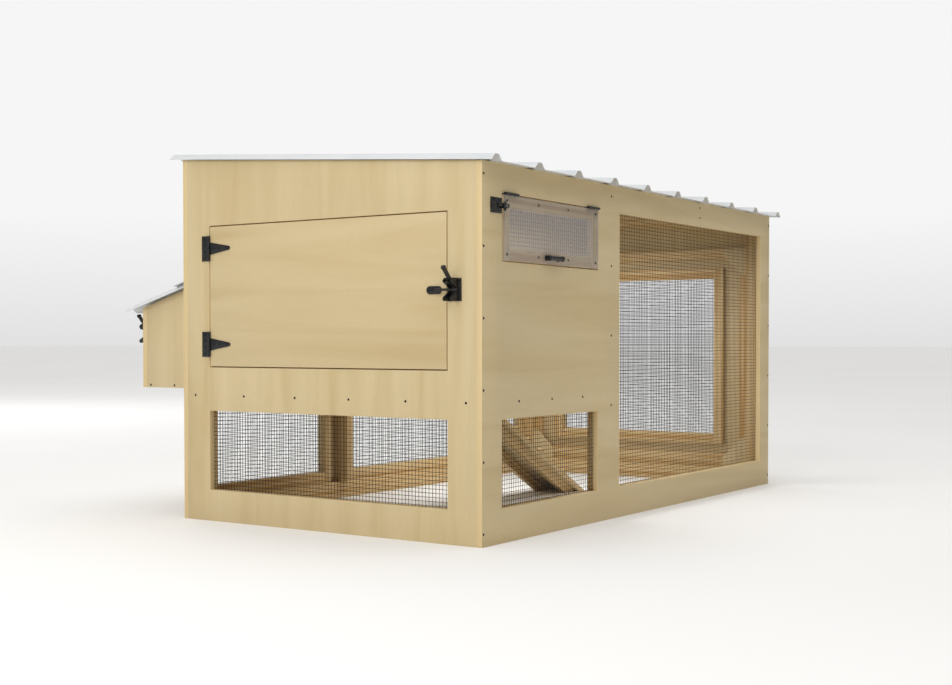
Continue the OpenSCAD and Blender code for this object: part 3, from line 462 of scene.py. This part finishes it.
def board_axes(mesh, label):
    """Each board's own directions, as rows: along its longest edge, across, and out of its widest
    face; then each face's board and normal. A sheet with a sloping cut keeps its grain
    straight."""
    places = coordinates(mesh)
    edges = np.empty(len(mesh.edges) * 2, int)
    mesh.edges.foreach_get("vertices", edges)
    a, b = edges.reshape(-1, 2).T
    run = places[b] - places[a]
    first = np.empty(len(mesh.polygons), int)
    mesh.polygons.foreach_get("loop_start", first)
    corner = np.empty(len(mesh.loops), int)
    mesh.loops.foreach_get("vertex_index", corner)
    area = np.empty(len(mesh.polygons))
    mesh.polygons.foreach_get("area", area)
    normal = np.empty(len(mesh.polygons) * 3)
    mesh.polygons.foreach_get("normal", normal)
    normal = normal.reshape(-1, 3)
    owner = label[corner[first]]
    count = label.max() + 1
    out = pick_heaviest(normal, area, owner, count)
    length = np.linalg.norm(run, axis=1)
    in_face = np.abs((run * out[label[a]]).sum(1)) < 0.1 * length
    along = pick_heaviest(run, length * in_face, label[a], count)
    return np.stack([along, np.cross(out, along), out], axis=1), owner, normal


def pick_heaviest(vectors, weight, owner, count):
    """The vector with the most weight of each owner, one unit long. One that leans less than
    6 degrees from X, Y or Z is taken as that axis."""
    order = np.argsort(weight, kind="stable")
    best = np.zeros((count, 3))
    best[owner[order]] = vectors[order]
    best /= np.linalg.norm(best, axis=1, keepdims=True)
    nearly = np.abs(best) > math.cos(math.radians(6))
    return np.where(nearly.any(axis=1, keepdims=True), nearly * 1.0, best)


def grain(mesh, chance, from_log):
    """Writes each board's own coordinates: X along its longest side, Y across its face and Z
    through its thickness. Each board starts at its own place along the wood, so no two look the
    same. A board sawn from a log also gets its own distance from the log's heart; a sheet keeps
    zero at its surface, where its layers start. A face that doesn't lie on the board's wide
    sides counts as rim."""
    label = solid_labels(mesh)
    axes, owner, normal = board_axes(mesh, label)
    count = len(axes)
    local = (axes[label] @ coordinates(mesh)[:, :, None])[:, :, 0]
    low, high = corners(local, label)
    shift = chance.uniform(*GRAIN_START, (count, 3)) * (1, 1, 0)
    if from_log:
        shift[:, 1] = -(high - low)[:, 1] * chance.uniform(*HEART_SHARE, count)
        shift[:, 2] = chance.uniform(*HEART_DEPTH, count)
    board = local - low[label] + shift[label]
    mesh.attributes.new("board", "FLOAT_VECTOR", "POINT").data.foreach_set(
        "vector", board.astype(np.float32).ravel())
    tones = chance.uniform(0, 1, count)
    mesh.attributes.new("tone", "FLOAT", "POINT").data.foreach_set(
        "value", tones[label].astype(np.float32))
    along_thin = np.abs((normal * axes[owner, 2]).sum(1))
    mesh.attributes.new("rim", "FLOAT", "FACE").data.foreach_set(
        "value", (along_thin < 0.5).astype(np.float32))


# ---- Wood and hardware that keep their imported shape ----

def make_wood():
    """Every plywood and pine node, with edges eased by sanding."""
    chance = np.random.default_rng(WOOD_SEED)
    for node, slot in SLOT_OF.items():
        if slot in WOODS:
            material, ease = WOODS[slot]
            mesh = eased(node, ease)
            grain(mesh, chance, slot == "pine")
            finish_piece(node + "_wood", mesh, BODY_OF[node], material, [node])


def make_hardware():
    """Black fittings with the small round that pressing and coating leave on every edge."""
    for node, slot in SLOT_OF.items():
        if slot == "black_hardware" and not node.endswith("screws"):
            mesh = eased(node, STEEL_EASE)
            finish_piece(node + "_coated", mesh, BODY_OF[node], BLACK_COAT, [node])


def make_pane():
    """The vent's clear sheet, its cut edges broken."""
    mesh = eased("vent_pane", CLEAR_EASE)
    finish_piece("vent_pane_sheet", mesh, BODY_OF["vent_pane"], CLEAR_SHEET,
                 ["vent_pane"])


# ---- Wire mesh ----

def tubes(starts, ends, radius, sides):
    """Straight round bars. Each bar is two rings of points, start or end plus radius times
    (cos a, sin a) on two directions across the bar; its ends are closed by flat faces."""
    count = len(starts)
    direction = (ends - starts) / np.linalg.norm(ends - starts, axis=1, keepdims=True)
    helper = np.where(np.abs(direction[:, 2:]) > 0.9, (1.0, 0.0, 0.0), (0.0, 0.0, 1.0))
    across = np.cross(direction, helper)
    across /= np.linalg.norm(across, axis=1, keepdims=True)
    up = np.cross(direction, across)
    angle = np.arange(sides) * 2 * np.pi / sides
    ring = radius * (np.cos(angle)[None, :, None] * across[:, None]
                     + np.sin(angle)[None, :, None] * up[:, None])
    vertices = np.stack([starts[:, None] + ring, ends[:, None] + ring], axis=1)
    base = (np.arange(count) * 2 * sides)[:, None]
    i = np.arange(sides)
    j = (i + 1) % sides
    quads = np.stack([base + i, base + j, base + sides + j, base + sides + i], axis=-1)
    caps = np.concatenate([base + i[::-1], base + sides + i])
    return vertices.reshape(-1, 3), quads.reshape(-1, 4).tolist() + caps.tolist()


def wire_lines(low, high):
    """Starts and ends of the wires of one panel. The wires of one direction lie in front of the
    others by a little under a wire's width, as if pressed into each other and welded."""
    thin = int(np.argmin(high - low))
    a, b = [axis for axis in range(3) if axis != thin]
    middle = (low[thin] + high[thin]) / 2
    starts, ends = [], []
    for along, over, side in ((a, b, 1), (b, a, -1)):
        places = np.arange(low[over] + WIRE_PITCH / 2, high[over], WIRE_PITCH)
        start = np.empty((len(places), 3))
        start[:, over] = places
        start[:, thin] = middle + side * WIRE_STEP
        end = start.copy()
        start[:, along] = low[along] + WIRE_SHORT
        end[:, along] = high[along] - WIRE_SHORT
        starts.append(start)
        ends.append(end)
    return np.concatenate(starts), np.concatenate(ends)


def make_wire():
    """Welded mesh in place of each packed slab."""
    for node, slot in SLOT_OF.items():
        if slot == "wire_mesh":
            lines = [wire_lines(low, high) for low, high in zip(*packed_boxes(node))]
            vertices, faces = tubes(np.concatenate([s for s, _ in lines]),
                                    np.concatenate([e for _, e in lines]),
                                    WIRE_RADIUS, WIRE_SIDES)
            piece_from(node + "_wires", vertices, faces, BODY_OF[node], WIRE, [node])


# ---- Roof ----

def rounded(points, radius, steps=4):
    """A bent line with each corner replaced by a curve: (1-s)^2 A + 2s(1-s) P + s^2 B, where P is
    the corner and A and B lie one radius from it along the two straight stretches, or 0.45 of the
    way along a short one."""
    corner, before, after = points[1:-1], points[:-2], points[2:]
    back = before - corner
    ahead = after - corner
    a = corner + back * np.minimum(radius / np.linalg.norm(back, axis=1), 0.45)[:, None]
    b = corner + ahead * np.minimum(radius / np.linalg.norm(ahead, axis=1), 0.45)[:, None]
    s = np.linspace(0, 1, steps + 1)[None, :, None]
    curve = (1 - s) ** 2 * a[:, None] + 2 * s * (1 - s) * corner[:, None] + s ** 2 * b[:, None]
    return np.concatenate([points[:1], curve.reshape(-1, 2), points[-1:]])


def rib(x):
    """The four fold points of a rib's underside."""
    return [[x - RIB_FOOT / 2, 0], [x - RIB_CREST / 2, RIB_HEIGHT],
            [x + RIB_CREST / 2, RIB_HEIGHT], [x + RIB_FOOT / 2, 0]]


def sheet_shell(profile, thick, length, to_world):
    """A rolled sheet: the profile line, once as underside and once thick higher, carried from 0
    to length along the ribs, with all its rims closed."""
    count = len(profile)
    line = np.stack([profile, profile + (0, thick)])
    ends = np.array([0, length])
    grid = np.empty((2, 2, count, 3))
    grid[..., 0] = line[None, :, :, 0]
    grid[..., 1] = ends[:, None, None]
    grid[..., 2] = line[None, :, :, 1]
    vertices = grid.reshape(-1, 3) @ np.array(to_world.to_3x3()).T + np.array(to_world.translation)
    index = np.arange(4 * count).reshape(2, 2, count)
    a, b = index[..., :-1], index[..., 1:]
    quads = [np.stack([a[0, 0], a[1, 0], b[1, 0], b[0, 0]], -1),
             np.stack([a[0, 1], b[0, 1], b[1, 1], a[1, 1]], -1),
             np.stack([a[0, 0], b[0, 0], b[0, 1], a[0, 1]], -1),
             np.stack([a[1, 0], a[1, 1], b[1, 1], b[1, 0]], -1),
             index[[0, 0, 1, 1], [0, 1, 1, 0], 0][None],
             index[[0, 1, 1, 0], [0, 0, 1, 1], -1][None]]
    return vertices, np.concatenate(quads).tolist()


def make_sheet(name, points, length, to_world):
    """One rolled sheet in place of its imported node."""
    profile = rounded(np.array(points, float), FOLD_RADIUS)
    vertices, faces = sheet_shell(profile, SHEET_THICK, length, to_world)
    piece = piece_from(name + "_rolled", vertices, faces, "coop", ROOF_STEEL,
                       [name])
    smooth_below(piece.data, 40)


def smooth_below(mesh, degrees):
    """Marks the edges that turn by more than so many degrees as sharp."""
    made = bmesh.new()
    made.from_mesh(mesh)
    for edge in made.edges:
        edge.smooth = edge.is_manifold and edge.calc_face_angle() < math.radians(degrees)
    made.to_mesh(mesh)
    made.free()


def slope_frame(node, low_at_front, start):
    """The place, length and slope of a sheet whose ribs run along Y. Its slope is read from the
    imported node's box, and its local zero is the point start on its underside."""
    low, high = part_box(node)
    reach = high.y - low.y
    # The box holds the slope's rise and the sheet's height across the slope
    slope = 0.0
    for _ in range(20):
        rise = (high.z - low.z - SHEET_HEIGHT * math.cos(slope)) / reach
        slope = math.atan(rise)
    angle = slope if low_at_front else -slope
    length = (reach - SHEET_HEIGHT * math.sin(slope)) / math.cos(slope)
    return Matrix.Translation(start) @ Matrix.Rotation(angle, 4, "X"), length, slope


def make_roof():
    """The roof's sheets, which share a rib where they lap: the later sheet's rib lies over the
    earlier sheet's."""
    body_low, body_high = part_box("front_panel")
    sheet_low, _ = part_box("roof_sheet_1")
    spread = (RIBS - 1) * RIB_PITCH
    first = body_low.x + (body_high.x - body_low.x - spread) / 2 + FIRST_RIB_SHIFT
    xs = [first + i * RIB_PITCH for i in range(RIBS)]
    place, length, slope = slope_frame(
        "roof_sheet_1", True, Vector((0, body_low.y, body_high.z + ROOF_SEAT)))
    start = (sheet_low.y - body_low.y + SHEET_HEIGHT * math.sin(slope)) / math.cos(slope)
    place = place @ Matrix.Translation((0, start, 0))
    over = SHEET_THICK + LAP_GAP
    for number in range(ROOF_SHEETS):
        ribs = xs[SHEET_SPACINGS * number:SHEET_SPACINGS * (number + 1) + 1]
        if number == 0:
            points = [[sheet_low.x, 0]] + rib(ribs[0])
        else:
            x = ribs[0]
            points = [[x - RIB_FOOT / 2 - LAP_PAN, over], [x - RIB_FOOT / 2, over],
                      [x - RIB_CREST / 2, RIB_HEIGHT + over],
                      [x + RIB_CREST / 2 + LAP_SPREAD, RIB_HEIGHT + over],
                      [x + RIB_FOOT / 2 + LAP_SPREAD, 0]]
        points += [point for x in ribs[1:-1] for point in rib(x)]
        last = rib(ribs[-1])
        if number == ROOF_SHEETS - 1:
            points += last + [[ribs[-1] + RIB_FOOT / 2 + LAST_PAN, 0]]
        else:
            points += last[:3]
        make_sheet(f"roof_sheet_{number + 1}", points, length, place)


def make_nest_roof():
    """The nest box's sheet, which falls away from the back wall."""
    low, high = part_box("nest_roof")
    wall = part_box("back_panel")[1].y
    place, length, slope = slope_frame("nest_roof", False, Vector((0, wall, 0)))
    # The underside meets the wall where the box's top less the rib's height lies
    top = high.z - SHEET_HEIGHT * math.cos(slope)
    place = Matrix.Translation((0, 0, top)) @ place
    first = low.x + RIB_FOOT / 2 + NEST_EDGE
    xs = [first + i * RIB_PITCH for i in range(NEST_RIBS)]
    points = [[low.x, 0]] + [p for x in xs for p in rib(x)] + [[high.x, 0]]
    make_sheet("nest_roof", points, length, place)


# ---- Screws ----

# Radius and height of a pan head from its rim up and into its driver recess, as shares
HEAD_PROFILE = np.array([[0.0, 0.0], [1.0, 0.0], [1.0, 0.35], [0.82, 0.82], [0.45, 1.0],
                         [0.34, 1.0], [0.26, 0.4], [0.0, 0.35]])
HEAD_SIDES = 10


def screw_heads(centres, outward, radius, height):
    """Pan heads: the profile is turned about each screw's own axis, so a point is centre plus
    r (cos a, sin a) on two directions across the axis plus h along it. Outward is one direction
    for each head, or one for all."""
    centres = np.asarray(centres, float)
    outward = np.broadcast_to(np.asarray(outward, float), centres.shape)
    helper = np.where(np.abs(outward[:, 2:]) > 0.9, (1.0, 0.0, 0.0), (0.0, 0.0, 1.0))
    across = np.cross(helper, outward)
    across /= np.linalg.norm(across, axis=1, keepdims=True)
    up = np.cross(outward, across)
    angle = np.arange(HEAD_SIDES) * 2 * np.pi / HEAD_SIDES
    rings = HEAD_PROFILE[1:-1] * (radius, height)
    disc = (np.cos(angle)[None, :, None] * across[:, None]
            + np.sin(angle)[None, :, None] * up[:, None])
    body = (centres[:, None, None] + rings[None, :, None, :1] * disc[:, None]
            + rings[None, :, None, 1:] * outward[:, None, None])
    base = centres[:, None] + HEAD_PROFILE[0, 1] * height * outward[:, None]
    floor = centres[:, None] + HEAD_PROFILE[-1, 1] * height * outward[:, None]
    count, levels = len(centres), len(rings)
    each = levels * HEAD_SIDES + 2
    vertices = np.concatenate([body.reshape(count, -1, 3), base, floor], axis=1)
    index = np.arange(levels * HEAD_SIDES).reshape(levels, HEAD_SIDES)
    a, b = index, np.roll(index, -1, axis=1)
    quads = np.stack([a[:-1], b[:-1], b[1:], a[1:]], -1).reshape(-1, 4)
    low = np.stack([np.full(HEAD_SIDES, each - 2), b[0], a[0]], -1)
    top = np.stack([np.full(HEAD_SIDES, each - 1), a[-1], b[-1]], -1)
    step = (np.arange(count) * each)[:, None, None]
    faces = ((quads + step).reshape(-1, 4).tolist() + (low + step).reshape(-1, 3).tolist()
             + (top + step).reshape(-1, 3).tolist())
    return vertices.reshape(-1, 3), faces


def make_screws(name, centres, outward, body, head, replaced=()):
    """One piece with a screw head at each centre; head is its radius and height."""
    vertices, faces = screw_heads(centres, outward, *head)
    piece = piece_from(name, vertices, faces, body, SCREW, replaced)
    smooth_below(piece.data, 38)


def make_packed_screws():
    """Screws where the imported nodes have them: each head's axis is its box's short side, turned
    away from the middle of the house or of the nest box."""
    nest_low, nest_high = box_corners("nest_sides")
    wall_low, wall_high = box_corners("front_panel")
    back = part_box("back_panel")[1].y
    for node in ("wall_screws", "vent_screws"):
        low, high = packed_boxes(node)
        centre = (low + high) / 2
        axis = np.argmin(high - low, axis=1)
        middle = np.where(centre[:, 1:2] > back + NEST_SCREW_OUT, (nest_low + nest_high) / 2,
                          (0.0, (wall_low[1] + back) / 2, wall_high[2] / 2))
        rows = np.arange(len(axis))
        outward = np.zeros_like(centre)
        outward[rows, axis] = np.sign(centre - middle)[rows, axis]
        foot = centre - outward * ((high - low)[rows, axis] / 2)[:, None]
        make_screws(node + "_heads", foot, outward, BODY_OF[node], WALL_HEAD, [node])


def fitting_places(origin, out, toward, local):
    """Points given as distances out of the wall, toward the door or plate, and up."""
    basis = np.array([out, toward, (0.0, 0.0, 1.0)])
    return np.asarray(origin) + np.asarray(local) @ basis


def make_hinge_screws(strap_node, out, plate_side, scale):
    """Three screws along each strap and four in each plate."""
    out, plate_side = np.array(out), np.array(plate_side)
    axis_along = int(np.argmax(np.abs(plate_side)))
    out_along = int(np.argmax(np.abs(out)))
    strap = scale * np.array([(LEAF_THICK, -d, 0) for d in STRAP_SCREWS])
    plate = scale * np.array([(LEAF_THICK, PLATE_SCREW_OUT, z) for z in PLATE_SCREWS])
    head = tuple(size * scale for size in HINGE_HEAD)
    for number, (low, high) in enumerate(zip(*packed_boxes(strap_node))):
        origin = (low + high) / 2
        origin[axis_along] = high[axis_along] - KNUCKLE * scale
        origin[out_along] = low[out_along] if out[out_along] > 0 else high[out_along]
        for part, local, body in (("strap", strap, BODY_OF[strap_node]), ("plate", plate, "coop")):
            centres = fitting_places(origin, out, plate_side, local)
            make_screws(f"{strap_node}_{part}_screws_{number + 1}", centres, out, body, head)


def make_latch_screws(striker_node, arm_node, out, toward):
    """Four screws in the latch's plate and two in the striker's base."""
    out, toward = np.array(out), np.array(toward)
    out_along = int(np.argmax(np.abs(out)))
    low, high = box_corners(striker_node)
    arm_low, arm_high = box_corners(arm_node)
    face = low[out_along] if out[out_along] > 0 else high[out_along]
    latch = (arm_low + arm_high) / 2
    latch[2] = (low[2] + high[2]) / 2
    latch[out_along] = face
    plate = [(LATCH_THICK, y, z) for y in (-LATCH_SCREW_SIDE, LATCH_SCREW_SIDE)
             for z in (-LATCH_SCREW_UP, LATCH_SCREW_UP)]
    base = [(LATCH_THICK, y, 0.0) for y in STRIKER_SCREWS]
    for part, local, body in (("latch", plate, "coop"), ("striker", base, BODY_OF[striker_node])):
        centres = fitting_places(latch, out, toward, local)
        make_screws(f"{striker_node}_{part}_screws", centres, out, body, LATCH_HEAD)


def make_bolt_screws():
    """Four screws in the plate that carries the vent's bolt."""
    low, high = box_corners("vent_bolt_body")
    face = high[1] - BOLT_THICK
    xs = (low[0] + BOLT_SCREW_IN_X, high[0] - BOLT_SCREW_IN_X)
    zs = (low[2] + BOLT_SCREW_IN_Z, high[2] - BOLT_SCREW_IN_Z)
    centres = [(x, face, z) for x in xs for z in zs]
    make_screws("vent_bolt_body_screws", centres, FRONT_OUT, "coop", BOLT_HEAD)


make_wood()
make_hardware()
make_pane()
make_wire()
make_roof()
make_nest_roof()
make_packed_screws()
make_hinge_screws("clean_out_straps", NEAR_OUT, ALONG_Y, 1.0)
make_hinge_screws("run_door_straps", FAR_OUT, ALONG_Y, 1.0)
make_hinge_screws("nest_straps", BACK_OUT, ALONG_X, NEST_HINGE_SCALE)
make_latch_screws("clean_out_striker", "clean_out_arm", NEAR_OUT, ALONG_Y)
make_latch_screws("run_door_striker", "run_door_arm", FAR_OUT, ALONG_Y)
make_latch_screws("nest_striker", "nest_arm", BACK_OUT, ALONG_X)
make_bolt_screws()
# The roof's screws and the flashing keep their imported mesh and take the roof's steel
for steel_node in ("roof_screws", "nest_flashing"):
    steel_mesh = frame["nodes"][steel_node].data
    steel_mesh.materials.clear()
    steel_mesh.materials.append(ROOF_STEEL)


# ---- Stage, light and camera ----

def make_stage():
    """A wide pale floor of matt board, a little uneven in tone."""
    half = FLOOR_HALF
    mesh = bpy.data.meshes.new("floor")
    mesh.from_pydata([(-half, -half, 0), (half, -half, 0), (half, half, 0), (-half, half, 0)],
                     [], [(0, 1, 2, 3)])
    floor = bpy.data.objects.new("floor", mesh)
    bpy.context.scene.collection.objects.link(floor)
    made, tree, out = new_material("pale_floor")
    place = object_place(tree)
    cloud = stretched_noise(tree, place, (0.4, 0.4, 0.4), 2.0)
    surface(tree, out, Base_Color=ramp(tree, cloud, ((0.3, "#F1F0EE"), (0.7, "#F4F3F1"))),
            Roughness=0.9)
    mesh.materials.append(made)


def lamp(name, kind, power, place=(0.0, 0.0, 0.0)):
    """A light of some kind that the camera doesn't see itself, and its settings."""
    data = bpy.data.lights.new(name, kind)
    data.energy = power
    light = bpy.data.objects.new(name, data)
    light.location = place
    light.visible_camera = False
    bpy.context.scene.collection.objects.link(light)
    return light, data


def area_light(name, place, aim, size, power):
    """A round soft light of some width, turned toward a point."""
    light, data = lamp(name, "AREA", power, place)
    data.shape = "DISK"
    data.size = size
    light.rotation_euler = (Vector(aim) - Vector(place)).to_track_quat("-Z", "Y").to_euler()


def make_light():
    """A white surround that lights softly, an overcast-like light from straight above, a broad
    key on the clean-out door's end, a bare lamp behind and two small lights inside."""
    world = bpy.data.worlds.new("studio")
    world.use_nodes = True
    tree = world.node_tree
    seen = add(tree, "LightPath").outputs["Is Camera Ray"]
    back = tree.nodes["Background"]
    back.inputs["Color"].default_value = (1.0, 1.0, 1.0, 1.0)
    # The backdrop starts at the far floor's tone, so that no edge shows where they meet
    upward = add(tree, "SeparateXYZ", {"Vector": add(tree, "TexCoord").outputs["Generated"]})
    backdrop = add(tree, "MapRange", {"Value": upward.outputs["Z"], "From Max": 0.09,
                                      "To Min": 0.76, "To Max": 0.92}).outputs[0]
    tree.links.new(value_range(tree, seen, 0.34, backdrop), back.inputs["Strength"])
    bpy.context.scene.world = world
    _, above = lamp("above", "SUN", 1.55)
    above.angle = 1.4
    middle = (0.0, 0.0, 0.6)
    area_light("key", (-6.0, -1.2, 4.2), middle, 3.5, 152.0)
    # It reaches the floor all round, so its light has no edge there
    _, behind = lamp("behind", "POINT", 240.0, (2.5, 6.5, 3.5))
    behind.shadow_soft_size = 2.0
    # What the sky gives inside: one light under the run's roof and one under the house's
    roof_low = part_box("front_panel")[1].z - 0.10
    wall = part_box("partition_panel")[0].x
    for name, x, size, power in (("run_fill", wall / 2 + 0.5, 0.8, 9.0),
                                 ("house_fill", wall - 0.35, 0.4, 4.0)):
        area_light(name, (x, -0.15, roof_low), (x, -0.15, 0.0), size, power)


def make_camera():
    """Stands off the near corner at hen-keeper's knee height and looks almost level."""
    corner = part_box("front_panel")[0]
    yaw, pitch = math.radians(33.96), math.radians(-1.29)
    ahead = Vector((math.cos(yaw) * math.cos(pitch), math.sin(yaw) * math.cos(pitch),
                    math.sin(pitch)))
    data = bpy.data.cameras.new("camera")
    data.sensor_width = 36.0
    data.lens = 51.67
    data.shift_y = 0.0315
    data.clip_end = 200.0
    camera = bpy.data.objects.new("camera", data)
    camera.location = corner + Vector((-3.300, -2.202, 0.601))
    camera.rotation_euler = ahead.to_track_quat("-Z", "Y").to_euler()
    bpy.context.scene.collection.objects.link(camera)
    bpy.context.scene.camera = camera


make_stage()
make_light()
make_camera()
bpy.context.scene.view_settings.view_transform = "Standard"
